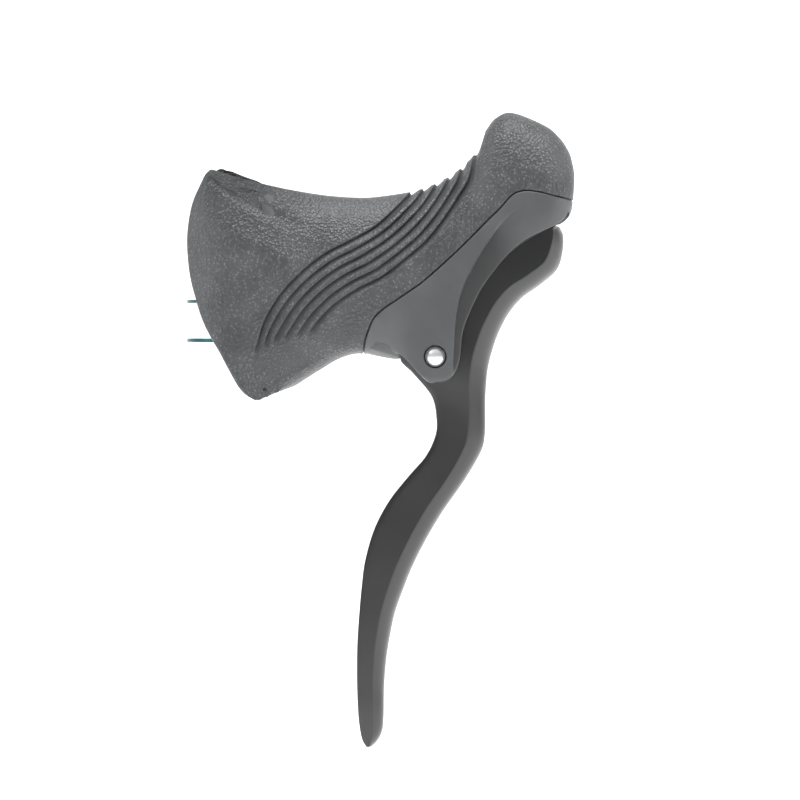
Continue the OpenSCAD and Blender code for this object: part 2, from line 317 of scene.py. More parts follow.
def carve(piece: bpy.types.Object, cutters: Sequence[BMesh]) -> None:
    """Takes solid shapes out of a closed piece.

    Args:
        piece: the piece.
        cutters: the shapes, in millimetres, which are freed.
    """
    tools = []
    for i, shape in enumerate(cutters):
        tool = to_object(shape, f"cutter_{i}")
        change = piece.modifiers.new("carve", "BOOLEAN")
        change.operation = "DIFFERENCE"
        change.solver = "EXACT"
        change.object = tool
        tools.append(tool)
    shown = piece.evaluated_get(bpy.context.evaluated_depsgraph_get())
    carved = bpy.data.meshes.new_from_object(shown)
    piece.modifiers.clear()
    piece.data = carved
    for tool in tools:
        bpy.data.objects.remove(tool)


def cross_cylinder(centre: Numbers, radius: float, half: float) -> BMesh:
    """A cylinder across the part, through an X and Z, reaching half its length to each side."""
    bm = bmesh.new()
    turn = Matrix.Translation((centre[0], 0, centre[1])) @ Matrix.Rotation(math.radians(90), 4, "X")
    bmesh.ops.create_cone(
        bm, cap_ends=True, segments=72, radius1=radius, radius2=radius, depth=2 * half, matrix=turn
    )
    return bm


def cross_prism(outline: Sequence[Numbers], half: float) -> BMesh:
    """A side outline in X and Z made solid across the part, reaching half its width to each side."""
    bm = bmesh.new()
    face = bm.faces.new([bm.verts.new((x, -half, z)) for x, z in outline])
    made = bmesh.ops.extrude_face_region(bm, geom=[face], use_keep_orig=True)["geom"]
    far_side = [item for item in made if isinstance(item, BMVert)]
    bmesh.ops.translate(bm, verts=far_side, vec=(0, 2 * half, 0))
    bmesh.ops.recalc_face_normals(bm, faces=bm.faces[:])
    return bm


def round_wire(name: str, line: Sequence[Vector], radius: float, sides: int) -> bpy.types.Object:
    """A round wire with closed, slightly domed ends.

    Args:
        name: the object's name.
        line: the points along its middle.
        radius: the wire's radius.
        sides: the number of faces round it.

    Returns:
        The wire.
    """
    last = len(line) - 1
    rows = last + 4

    def place(across: float, up: float) -> Vector:
        """Where a vertex of the wire goes."""
        row = round(up * rows)
        k = min(max(row - 2, 0), last)
        width = {0: 0.0, 1: 0.8, rows - 1: 0.8, rows: 0.0}.get(row, 1.0)
        ahead = (line[min(k + 1, last)] - line[max(k - 1, 0)]).normalized()
        end = {0: -0.5, 1: -0.3, rows - 1: 0.3, rows: 0.5}.get(row, 0.0)
        side = ahead.cross(Vector((0, 1, 0))).normalized()
        other = ahead.cross(side)
        angle = 2 * math.pi * across
        return line[k] + radius * (width * (side * math.cos(angle) + other * math.sin(angle)) + end * ahead)

    return to_object(mapped_grid(sides, rows, place), name)


# ---- Finishes ----


class Signal:
    """A number that changes over a surface. Arithmetic on it adds Math nodes."""

    def __init__(self, bench: "Bench", socket: bpy.types.NodeSocket) -> None:
        """Args:
            bench: the material being made.
            socket: the node output that gives the number.
        """
        self.bench = bench
        self.socket = socket

    def _math(self, operation: str, first: object, second: object) -> "Signal":
        """One Math node on two values."""
        return self.bench.add("ShaderNodeMath", {"operation": operation}, {0: first, 1: second})

    def __add__(self, other: object) -> "Signal":
        """Adds."""
        return self._math("ADD", self, other)

    __radd__ = __add__

    def __mul__(self, other: object) -> "Signal":
        """Multiplies."""
        return self._math("MULTIPLY", self, other)

    __rmul__ = __mul__

    def __sub__(self, other: object) -> "Signal":
        """Subtracts."""
        return self._math("SUBTRACT", self, other)

    def __rsub__(self, other: object) -> "Signal":
        """Subtracts from."""
        return self._math("SUBTRACT", other, self)

    def clamped(self) -> "Signal":
        """Kept between 0 and 1."""
        return self.bench.add("ShaderNodeClamp", {}, {"Value": self})

    def between(self, low: float, high: float) -> "Signal":
        """Goes smoothly from 0 at low to 1 at high."""
        inputs = {"Value": self, "From Min": low, "From Max": high}
        return self.bench.add("ShaderNodeMapRange", {"interpolation_type": "SMOOTHSTEP"}, inputs)


class Bench:
    """Makes one material or world node by node."""

    def __init__(self, owner: bpy.types.Material | bpy.types.World) -> None:
        """Args:
            owner: the new material or world.
        """
        self.owner = owner
        owner.use_nodes = True
        self.tree = owner.node_tree
        self.tree.nodes.clear()
        self.place = self.add("ShaderNodeTexCoord", {}, {}, "Object")

    def add(self, kind: str, settings: dict, inputs: dict, output: int | str | None = 0) -> Signal:
        """Adds a node.

        Args:
            kind: the node's type.
            settings: the node's own settings, set first; stops are a ramp's places and colours.
            inputs: values or signals for its sockets, by name or number.
            output: the output wanted, by name or number, or None for a node that has none.

        Returns:
            The wanted output.
        """
        node = self.tree.nodes.new(kind)
        for key, value in settings.items():
            if key == "stops":
                for i, (at, colour) in enumerate(value):
                    stop = node.color_ramp.elements[i] if i < 2 else node.color_ramp.elements.new(at)
                    stop.position = at
                    stop.color = (*colour, 1)
            else:
                setattr(node, key, value)
        for key, value in inputs.items():
            if isinstance(value, Signal):
                self.tree.links.new(value.socket, node.inputs[key])
            else:
                node.inputs[key].default_value = value
        return Signal(self, None if output is None else node.outputs[output])

    def noise(
        self, size: float, detail: float = 2.0, roughness: float = 0.5, place: Signal | None = None
    ) -> Signal:
        """Cloudy noise whose lumps are about a size in millimetres across."""
        inputs = {"Scale": 1 / (size * MM), "Detail": detail, "Roughness": roughness}
        return self.add("ShaderNodeTexNoise", {}, {"Vector": place or self.place, **inputs})

    def cells(self, size: float, place: Signal) -> Signal:
        """Distance from the middle of packed cells about a size in millimetres across."""
        inputs = {"Vector": place, "Scale": 1 / (size * MM)}
        return self.add("ShaderNodeTexVoronoi", {"feature": "F1"}, inputs, "Distance")

    def stretched(self, scale: Numbers) -> Signal:
        """Object coordinates scaled along each axis."""
        return self.add("ShaderNodeMapping", {}, {"Vector": self.place, "Scale": scale})

    def warped(self, size: float, amount: float) -> Signal:
        """Object coordinates pushed about by noise of a size, by an amount in millimetres."""
        push = self.add("ShaderNodeTexNoise", {}, {"Vector": self.place, "Scale": 1 / (size * MM)}, "Color")
        centred = self.add("ShaderNodeVectorMath", {"operation": "SUBTRACT"}, {0: push, 1: (0.5, 0.5, 0.5)})
        inputs = {0: centred, 1: (amount * MM,) * 3, 2: self.place}
        return self.add("ShaderNodeVectorMath", {"operation": "MULTIPLY_ADD"}, inputs)

    def attribute(self, name: str) -> Signal:
        """A number stored on the piece's vertices."""
        return self.add("ShaderNodeAttribute", {"attribute_name": name}, {}, "Fac")

    def colour(self, share: Signal, first: Colour, second: Colour | Signal) -> Signal:
        """A colour that goes from the first to the second as share goes from 0 to 1."""
        second = second if isinstance(second, Signal) else (*second, 1)
        first = first if isinstance(first, Signal) else (*first, 1)
        return self.add("ShaderNodeMix", {"data_type": "RGBA"}, {0: share, 6: first, 7: second}, 2)

    def bump(self, height: Signal, depth: float) -> Signal:
        """A normal bent by a height that runs from 0 to 1, for a depth in millimetres."""
        return self.add("ShaderNodeBump", {}, {"Height": height, "Distance": depth * MM, "Strength": 1.0})

    def finish(self, **values: object) -> bpy.types.Material:
        """Closes the material with a surface that takes values or signals by its sockets' names."""
        named = {}
        for key, value in values.items():
            named[key.replace("_", " ").title().replace("Ior", "IOR")] = value
        surface = self.add("ShaderNodeBsdfPrincipled", {}, named)
        self.add("ShaderNodeOutputMaterial", {}, {"Surface": surface}, None)
        return self.owner


@dataclass(frozen=True)
class PebbledRubber:
    """Soft dark rubber with a pebbled grain, pale highlights painted on its crests, and smooth where "smooth"
    says.
    """

    name: str = "pebbled_rubber"
    dark: Colour = (0.017, 0.0185, 0.020)
    light: Colour = (0.034, 0.036, 0.038)
    # painted highlight: the pale colour of the specks on the pebbles' crests, which stand for glints of light
    glint_colour: Colour = (0.125, 0.128, 0.130)
    grain: float = 0.7
    grain_depth: float = 0.22

    def make(self) -> bpy.types.Material:
        """Builds the material."""
        bench = Bench(bpy.data.materials.new(self.name))
        smooth = bench.attribute("smooth")
        grained = 1 - smooth * 0.75
        pebbles = bench.cells(self.grain, bench.warped(1.1, 0.5))
        raised = 1 - (pebbles * 1.35).clamped()
        fine = bench.noise(0.3, 3, 0.6)
        normal = bench.bump((raised * 0.8 + fine * 0.3) * grained, self.grain_depth)
        cloud = bench.noise(9, 4, 0.6)
        # painted highlight: pale specks on the tops of the pebbles, more of them in some patches, stand for
        # glints of light
        glint_share = (raised * 0.75 + fine * 0.5).between(0.62, 1.0) * (0.35 + cloud.between(0.35, 0.65) * 0.65)
        base = bench.colour(cloud.between(0.3, 0.75), self.dark, self.light)
        base = bench.colour(glint_share * grained, base, self.glint_colour)
        roughness = 0.44 + cloud * 0.12 - raised * 0.12 + smooth * 0.05
        return bench.finish(base_color=base, roughness=roughness, normal=normal, specular_ior_level=0.5)


@dataclass(frozen=True)
class MouldedPlastic:
    """Glass-filled plastic with a very fine spark texture, and where asked painted shade inside a sunk
    recess.
    """

    name: str
    dark: Colour
    light: Colour
    roughness: float = 0.52
    texture: float = 0.28
    depth: float = 0.02
    # painted shade: how strongly the colour is darkened inside a sunk recess, by the piece's stored share, to
    # stand for the shade there
    recess: float = 0.0
    recess_shade_colour: Colour = (0.010, 0.010, 0.0105)

    def make(self) -> bpy.types.Material:
        """Builds the material."""
        bench = Bench(bpy.data.materials.new(self.name))
        spark = bench.noise(self.texture, 4, 0.65)
        cloud = bench.noise(14, 3, 0.55)
        base = bench.colour(cloud.between(0.3, 0.75), self.dark, self.light)
        # painted shade: darkens the colour inside the sunk recess
        if self.recess:
            base = bench.colour(bench.attribute("recess") * self.recess, base, self.recess_shade_colour)
        normal = bench.bump(spark, self.depth)
        roughness = self.roughness - 0.05 + cloud * 0.1 + (spark - 0.5) * 0.12
        return bench.finish(base_color=base, roughness=roughness, normal=normal, specular_ior_level=0.42)


@dataclass(frozen=True)
class SatinPaint:
    """Satin black paint on metal: a faint orange peel under a thin clear coat."""

    name: str = "satin_paint"
    dark: Colour = (0.006, 0.0062, 0.0065)
    light: Colour = (0.011, 0.011, 0.0112)
    roughness: float = 0.3

    def make(self) -> bpy.types.Material:
        """Builds the material."""
        bench = Bench(bpy.data.materials.new(self.name))
        peel = bench.noise(0.9, 2, 0.4)
        speck = bench.noise(0.25, 2, 0.5)
        cloud = bench.noise(20, 3, 0.55)
        normal = bench.bump(peel * 0.7 + speck * 0.3, 0.012)
        base = bench.colour(cloud, self.dark, self.light)
        roughness = self.roughness - 0.04 + cloud * 0.1 + (speck - 0.5) * 0.08
        return bench.finish(
            base_color=base, roughness=roughness, normal=normal, specular_ior_level=0.42, coat_weight=0.12,
            coat_roughness=0.22,
        )


class Lay(Enum):
    """Which way a metal's fine marks run."""

    EVEN = (1.0, 1.0, 1.0)
    ALONG_BAR = (1.0, 1.0, 0.12)
    TURNED = (0.15, 1.0, 0.15)


@dataclass(frozen=True)
class Metal:
    """Bare or plated metal with fine marks and a little unevenness of tint, and where asked a painted dark
    reflection towards its rims above and below Z=0.
    """

    name: str
    colour: Colour
    tint: Colour
    roughness: float
    lay: Lay = Lay.EVEN
    mark: float = 0.3
    depth: float = 0.006
    # painted reflection: past this height in millimetres above and below Z=0 the colour fades, over
    # edge_fade, to a dark teal that stands for dark surroundings reflected in a band's rounded rims
    edge: float = 0.0
    edge_fade: float = 0.25
    dark_reflection_colour: Colour = (0.03, 0.10, 0.11)

    def make(self) -> bpy.types.Material:
        """Builds the material."""
        bench = Bench(bpy.data.materials.new(self.name))
        marks = bench.noise(self.mark, 3, 0.6, bench.stretched(self.lay.value))
        cloud = bench.noise(4, 3, 0.6)
        base = bench.colour(cloud.between(0.3, 0.7), self.colour, self.tint)
        # painted reflection: darkens the colour towards the rims
        if self.edge:
            height = bench.add("ShaderNodeSeparateXYZ", {}, {0: bench.place}, "Z")
            outer = self.edge + self.edge_fade
            painted_reflection = (height * height).between((self.edge * MM) ** 2, (outer * MM) ** 2)
            base = bench.colour(painted_reflection, base, self.dark_reflection_colour)
        roughness = self.roughness - 0.06 + cloud * 0.1 + marks * 0.06
        normal = bench.bump(marks, self.depth)
        return bench.finish(base_color=base, roughness=roughness, normal=normal, metallic=1.0)


class Finish(Enum):
    """Every finish on the part."""

    HOOD = PebbledRubber()
    # the bracket's sunk crescent gets painted shade
    BRACKET = MouldedPlastic(
        "moulded_bracket", (0.040, 0.042, 0.044), (0.054, 0.056, 0.058), 0.46, 0.4, 0.03, recess=0.8
    )
    BLADE = SatinPaint()
    PIN = Metal("polished_pin", (0.93, 0.93, 0.92), (0.86, 0.87, 0.88), 0.32, Lay.TURNED)
    ZINC = Metal("bright_zinc", (0.86, 0.92, 0.93), (0.78, 0.88, 0.91), 0.28, Lay.ALONG_BAR)
    # the band's upper and lower rims get a painted dark reflection
    BAND = Metal("blued_edge_zinc", (0.86, 0.92, 0.93), (0.78, 0.88, 0.91), 0.28, Lay.ALONG_BAR, edge=4.3)
    BOLT = Metal("bolt_steel", (0.50, 0.50, 0.50), (0.42, 0.42, 0.43), 0.34)
    SPRING = Metal("spring_wire", (0.45, 0.45, 0.46), (0.36, 0.36, 0.37), 0.32)
    NYLON = MouldedPlastic("nylon", (0.60, 0.58, 0.52), (0.68, 0.66, 0.60), 0.42, 0.5, 0.008)
    BRASS = Metal("turned_brass", (0.62, 0.45, 0.20), (0.55, 0.38, 0.16), 0.3)
    PAD = MouldedPlastic("pad_rubber", (0.012, 0.012, 0.012), (0.018, 0.018, 0.018), 0.7, 0.35, 0.02)

    def material(self) -> bpy.types.Material:
        """The finish's material, made the first time it is wanted."""
        return bpy.data.materials.get(self.value.name) or self.value.make()


@dataclass
class Assembly:
    """A group of pieces and the frame that they are built in."""

    frame: dict

    def place(
        self, piece: bpy.types.Object, body: str, slot: str, finish: Finish, stands_for: Sequence[str] = (),
    ) -> bpy.types.Object:
        """Puts a finished piece on its body.

        Args:
            piece: the piece.
            body: the body it moves with.
            slot: the record's material slot; not used.
            finish: its finish.
            stands_for: the frame's nodes that it is shown in place of.

        Returns:
            The piece.
        """
        piece.data.materials.clear()
        piece.data.materials.append(finish.material())
        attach(piece, body)
        if stands_for:
            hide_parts(*stands_for)
        LOG.info("%s: %d faces on %s", piece.name, len(piece.data.polygons), body)
        return piece

    def dress(self, node: str, finish: Finish) -> None:
        """Gives one of the frame's own nodes its finish."""
        mesh = self.frame["nodes"][node].data
        mesh.materials.clear()
        mesh.materials.append(finish.material())
        LOG.info("%s: kept from the frame", node)

    def copied(self, node: str) -> BMesh:
        """A copy of a node's mesh, merged and in millimetres."""
        bm = bmesh.new()
        bm.from_mesh(self.frame["nodes"][node].data)
        bmesh.ops.remove_doubles(bm, verts=bm.verts[:], dist=1e-6)
        bmesh.ops.scale(bm, vec=(1 / MM,) * 3, verts=bm.verts[:])
        return bm

    def softened(
        self, node: str, edge: float, finish: Finish, slot: str, body: str, sharp: float = 30.0
    ) -> None:
        """Shows a copy of a node with its edges rounded.

        Args:
            node: the frame's node.
            edge: the width of the rounding in millimetres.
            finish: its finish.
            slot: the record's material slot.
            body: the body it moves with.
            sharp: only edges that turn by more than this many degrees are rounded.
        """
        bm = self.copied(node)
        bmesh.ops.dissolve_limit(
            bm, angle_limit=math.radians(0.5), verts=bm.verts[:], edges=bm.edges[:], delimit={"NORMAL"}
        )
        piece = to_object(bm, node + "_finished", sharp)
        rounding = piece.modifiers.new("edges", "BEVEL")
        rounding.width = edge * MM
        rounding.segments = 3
        rounding.limit_method = "ANGLE"
        rounding.angle_limit = math.radians(sharp)
        rounding.use_clamp_overlap = True
        rounding.harden_normals = False
        self.place(piece, body, slot, finish, [node])


# ---- The skin that the hood and the bracket share ----

# Lines seen from the side, each as X and Z from its rear foot to its front.
SEAM = SideLine(35, (
    (31.1, -8.2), (31.45, -5.2), (32.5, -1.9), (33.8, 0.8), (35.5, 2.5), (40.8, 6.2), (45.5, 9.5),
    (54.9, 17.9), (61, 24), (65.6, 28.6), (67.6, 30.9), (69.3, 32), (71.6, 32.4), (75, 32), (79, 31),
    (83.2, 30.1),
))
EAR_EDGE = SideLine(35, (
    (24, -34), (32, -16.5), (37.5, -11.8), (41, -9.6), (42.9, -11.2), (46.2, -14.6), (49.5, -15.4),
    (52.9, -14.2), (54.8, -11), (55.9, -2.5), (57.6, 2.2), (60.2, 7.5), (63.6, 12.2), (67.6, 16.9),
    (71.6, 20.2), (75.6, 22.2), (80, 24.3), (82.6, 26.5),
))
CRESCENT = SideLine(35, (
    (53.6, -6.5), (53.9, -1.2), (54.6, 4.2), (56.2, 9.5), (58.9, 14.9), (62.3, 20.3), (67, 26.3), (72, 30),
))
FIRST_GROOVE = SideLine(46, (
    (3.3, -9.2), (4.5, -6.5), (6.4, -0.4), (10.2, 6.2), (15.6, 12.1), (21.7, 16.9), (27.8, 20.1),
    (33.9, 23.6), (40.4, 29.7), (42.7, 32.2), (45.7, 37.3), (47, 40.7), (47.2, 45.9),
))
LAST_GROOVE = SideLine(46, (
    (16.7, -4.4), (19.4, -0.4), (24, 4.3), (29.3, 7.9), (35.5, 11), (41.6, 15.7), (46.9, 20.3),
    (51.9, 26.8), (54.6, 31), (56.9, 34.9), (58.6, 41.4),
))
PIVOT = (49.0, -9.0)


@dataclass(frozen=True)
class Skin:
    """The outer shape: a rim round the bar, a waist, and a raised nose.

    A station is [top x, top z, bottom x, bottom z, half width, squareness above, squareness below].
    A rim point is [angle back round the bar, radius, z]. They run from the rim's top to its foot.
    """

    stations: tuple[Numbers, ...] = (
        (24.0, 31.2, 20.0, -12.4, 13.9, 2.3, 2.6), (28.5, 30.9, 25.4, -9.3, 13.5, 2.35, 3.0),
        (34.0, 31.0, 31.0, -8.2, 13.3, 2.4, 3.4), (44.0, 32.6, 39.0, -10.5, 13.1, 2.6, 4.0),
        (52.2, 35.9, 44.0, -28.0, 13.0, 3.1, 3.6), (58.6, 41.4, 54.0, -28.0, 12.9, 3.2, 3.4),
        (61.9, 47.9, 60.5, -12.5, 12.9, 3.05, 3.2), (64.6, 51.0, 63.5, -3.5, 12.9, 2.9, 3.0),
        (68.6, 51.98, 67.0, 5.0, 13.0, 2.7, 2.8), (76.5, 48.8, 73.0, 12.0, 12.7, 2.5, 2.5),
        (80.2, 45.7, 77.0, 15.5, 12.0, 2.4, 2.4), (82.5, 42.2, 80.2, 19.5, 10.4, 2.3, 2.3),
        (83.4, 39.2, 82.4, 24.5, 8.2, 2.2, 2.2), (83.8, 37.0, 83.5, 30.0, 5.5, 2.1, 2.1),
    )
    rim: tuple[Numbers, ...] = (
        (0, 13.8, 32.4), (35, 13.7, 32.9), (60, 13.8, 33.8), (80, 14, 34.8), (95, 14.3, 35.8),
        (109, 14.6, 37), (118, 14.8, 37.6), (124, 15.1, 36.4), (129, 15.4, 34), (138, 15.8, 29.4),
        (145.5, 15.7, 23.2), (147, 15.6, 17.6), (142, 15.7, 11), (133, 15.8, 4.8), (122, 16.1, -1.5),
        (108, 16.4, -7.5), (98, 16.4, -12.5), (88, 16.3, -17), (76, 15.9, -19.8), (65, 15.2, -19),
        (50, 14.5, -17.8), (28, 13.8, -16.8), (0, 13.8, -16.1),
    )
    side_reach: float = 0.44
    front_reach: float = 0.08
    front_lean: float = 0.6
    reach_from: float = 42.0
    reach_to: float = -56.0
    reach_fade: float = 32.0
    end_reach: float = 0.8
    crowding: float = 0.125
    flare_length: float = 34.0
    lip_rows: Numbers = (0, 0.12, 0.3, 0.6, 1.0)
    end_rows: Numbers = (0.15, 0.35, 0.6, 0.85, 1)
    cell: float = 0.62
    columns: int = 260

    def ring_point(self, station: Sequence[float], around: float) -> Vector:
        """A point on a station's ring, where around is 90 degrees at the top and -90 at the foot."""
        top = Vector((station[0], 0, station[1]))
        foot = Vector((station[2], 0, station[3]))
        angle = math.radians(around)
        power = 2 / station[5 if 0 <= around <= 180 else 6]
        lift = signed_power(math.sin(angle), power)
        out = signed_power(math.cos(angle), power)
        return (top + foot) / 2 + (top - foot) / 2 * lift - Vector((0, out * station[4], 0))

    def rim_point(self, around: float) -> Vector:
        """A point on the right half of the rim, where around runs from 90 at its top to -90 at its foot."""
        back, radius, z = catmull(self.rim, (90 - around) / 180 * (len(self.rim) - 1))
        angle = math.radians(back)
        return Vector((radius * math.cos(angle), -radius * math.sin(angle), z))

    def leaving(self, around: float, start: Vector) -> Vector:
        """How far and which way the skin is pulled as it leaves the right half of the rim.

        Args:
            around: where on the rim.
            start: the rim's point there.

        Returns:
            The direction, as long as the share of the way to the first station that it pulls for.
        """
        rim_way = (self.rim_point(around - 1.5) - self.rim_point(around + 1.5)).normalized()
        outward = Vector((start.x, start.y, 0)).normalized()
        side = smoothstep((abs(rim_way.z) - 0.25) / 0.5)
        ahead = outward + Vector((self.front_lean, 0, 0))
        direction = side * outward.cross(rim_way) + (1 - side) * ahead
        fade = self.reach_fade
        length = smoothstep((self.reach_from - around) / fade) * smoothstep((around - self.reach_to) / fade)
        return direction.normalized() * (self.front_reach + (self.side_reach - self.front_reach) * length)

    def flare_point(self, share: float, around: float) -> Vector:
        """A point on the way from the rim to the first station."""
        right = abs(around) <= 90
        folded = around if right else math.copysign(180, around) - around
        start = self.rim_point(folded)
        end = self.ring_point(self.stations[0], folded)
        onward = (self.ring_point(self.stations[1], folded) - end).normalized()
        run = end.x - start.x
        start_pull = start + run * self.leaving(folded, start)
        end_pull = end - self.end_reach * self.side_reach * run * onward
        s = 1 - share
        point = s**3 * start + 3 * s * s * share * start_pull + 3 * s * share**2 * end_pull + share**3 * end
        return point if right else Vector((point.x, -point.y, point.z))

    def point(self, at: float, around: float) -> Vector:
        """A point on the skin.

        Args:
            at: 0 to 1 from the rim to the first station, on through the stations, and 1 more over the nose.
            around: the angle round the skin, 90 at the top.
        """
        around -= self.crowding * math.degrees(math.sin(math.radians(4 * around)))
        if at < 1:
            return self.flare_point(at, around)
        last = len(self.stations)
        if at <= last:
            return self.ring_point(catmull(self.stations, at - 1), around)
        edge = self.ring_point(self.stations[-1], around)
        middle = (self.ring_point(self.stations[-1], 0) + self.ring_point(self.stations[-1], 180)) / 2
        share = at - last
        return middle + (edge - middle) * (1 - share)

    def rows(self) -> list[float]:
        """Where along the skin the grid's rows go, close together at the rim's lip."""
        rows = [d / self.flare_length for d in self.lip_rows]
        count = round((self.flare_length - 1) / self.cell)
        rows += [rows[-1] + (1 - rows[-1]) * k / count for k in range(1, count + 1)]
        for i, (a, b) in enumerate(zip(self.stations, self.stations[1:])):
            length = max(math.dist(a[:2], b[:2]), 0.6 * math.dist(a[2:4], b[2:4]))
            count = max(round(length / self.cell), 2)
            rows += [i + 1 + k / count for k in range(1, count + 1)]
        return rows + [len(self.stations) + share for share in self.end_rows]

    def sheet(self) -> BMesh:
        """The whole skin as one sheet, closed over the nose and open at the rim."""
        rows = self.rows()

        def place(across: float, up: float) -> Vector:
            """Where a vertex of the skin goes."""
            at = up * (len(rows) - 1)
            low = min(int(at + 1e-6), len(rows) - 2)
            along = rows[low] + (rows[low + 1] - rows[low]) * (at - low)
            around = 90 - 360 * across
            return self.point(along, around + 360 if around < -180 else around)

        return mapped_grid(self.columns, len(rows) - 1, place)


@dataclass
class Hood(Assembly):
    """The rubber hood: pebbled, with six grooves that sweep over it, and a rounded rim."""

    skin: Skin = field(default_factory=Skin)
    thickness: float = 2.0
    lip: float = 0.9
    seam_round: float = 0.5
    bar_clear: float = 12.7
    grooves: int = 6
    groove_depth: float = 0.75
    groove_step: float = 0.12
    groove_width: float = 1.6
    first_start: float = -4.3
    last_start: float = 8.5
    fade_length: float = 4.0
    lip_steps: int = 4

    def groove_line(self, number: int) -> SideLine:
        """The line of one groove, counted from the rear."""
        return BlendedLine(FIRST_GROOVE, LAST_GROOVE, number / (self.grooves - 1))

    def groove_drop(self, x: float, z: float, lines: Sequence[SideLine]) -> tuple[float, float]:
        """How deep the grooves are at a place on the side.

        Args:
            x: the place's X.
            z: the place's Z.
            lines: the grooves' lines, from the rear.

        Returns:
            The depth, and how far the grain is smoothed away there, from 0 to 1.
        """
        for number in reversed(range(self.grooves)):
            below = -lines[number].above(x, z)
            if below < -1e-4:
                continue
            start = self.first_start + (self.last_start - self.first_start) * number / (self.grooves - 1)
            shown = smoothstep((lines[number].along(x, z) - start) / self.fade_length)
            if below < self.groove_step:
                return self.groove_depth * shown * below / self.groove_step, shown
            share = (below - self.groove_step) / (self.groove_width - self.groove_step)
            if share >= 1:
                return 0.0, 0.0
            return self.groove_depth * shown * (1 - share**1.25), shown * smoothstep(3 * (1 - share))
        return 0.0, 0.0

    def build(self) -> None:
        """Builds the hood and puts it on the bracket."""
        bm = self.skin.sheet()
        seam_cuts = [(0, 0.02), (0.12, 0.04), (0.28, 0.06), (self.seam_round, 0.1)]
        cut_along(bm, SEAM, seam_cuts, drop_below=True)
        lines = [self.groove_line(k) for k in range(self.grooves)]
        for line in lines:
            cut_along(bm, line, [(-self.groove_width, 0.15), (-self.groove_step, 0.1), (0, 0.03)])
        rim_gap = self.rim_distances(bm)
        smooth = bm.verts.layers.float.new("smooth")
        wall = thicken(bm, self.thickness)
        for vert in bm.verts:
            x, _, z = vert.co
            lip_drop = rounded_edge(rim_gap[wall.number[vert]], self.lip)
            if vert not in wall.inner:
                groove, worn = self.groove_drop(x, z, lines)
                seam_drop = rounded_edge(SEAM.above(x, z), self.seam_round)
                vert.co -= wall.out(vert) * (lip_drop + groove + seam_drop)
                vert[smooth] = worn
            else:
                vert.co += wall.out(vert) * lip_drop
                gap = math.hypot(vert.co.x, vert.co.y)
                if gap < self.bar_clear:
                    vert.co.x *= self.bar_clear / gap
                    vert.co.y *= self.bar_clear / gap
        bmesh.ops.recalc_face_normals(bm, faces=bm.faces[:])
        piece = to_object(bm, "hood_skin", 50)
        self.place(piece, "bracket", "hood_rubber", Finish.HOOD, ["rubber_hood"])

    def rim_distances(self, bm: BMesh) -> dict[int, float]:
        """How far each vertex near the rim is from it, by the vertex's number."""
        bm.verts.index_update()
        open_verts = [vert for edge in bm.edges if edge.is_boundary for vert in edge.verts]
        distance = {vert: 0.0 for vert in open_verts if SEAM.above(vert.co.x, vert.co.z) > 0.01}
        for _ in range(self.lip_steps):
            for vert in list(distance):
                for edge in vert.link_edges:
                    other = edge.other_vert(vert)
                    reached = distance[vert] + edge.calc_length()
                    if reached < distance.get(other, FAR):
                        distance[other] = reached
        return {vert.index: distance.get(vert, FAR) for vert in bm.verts}


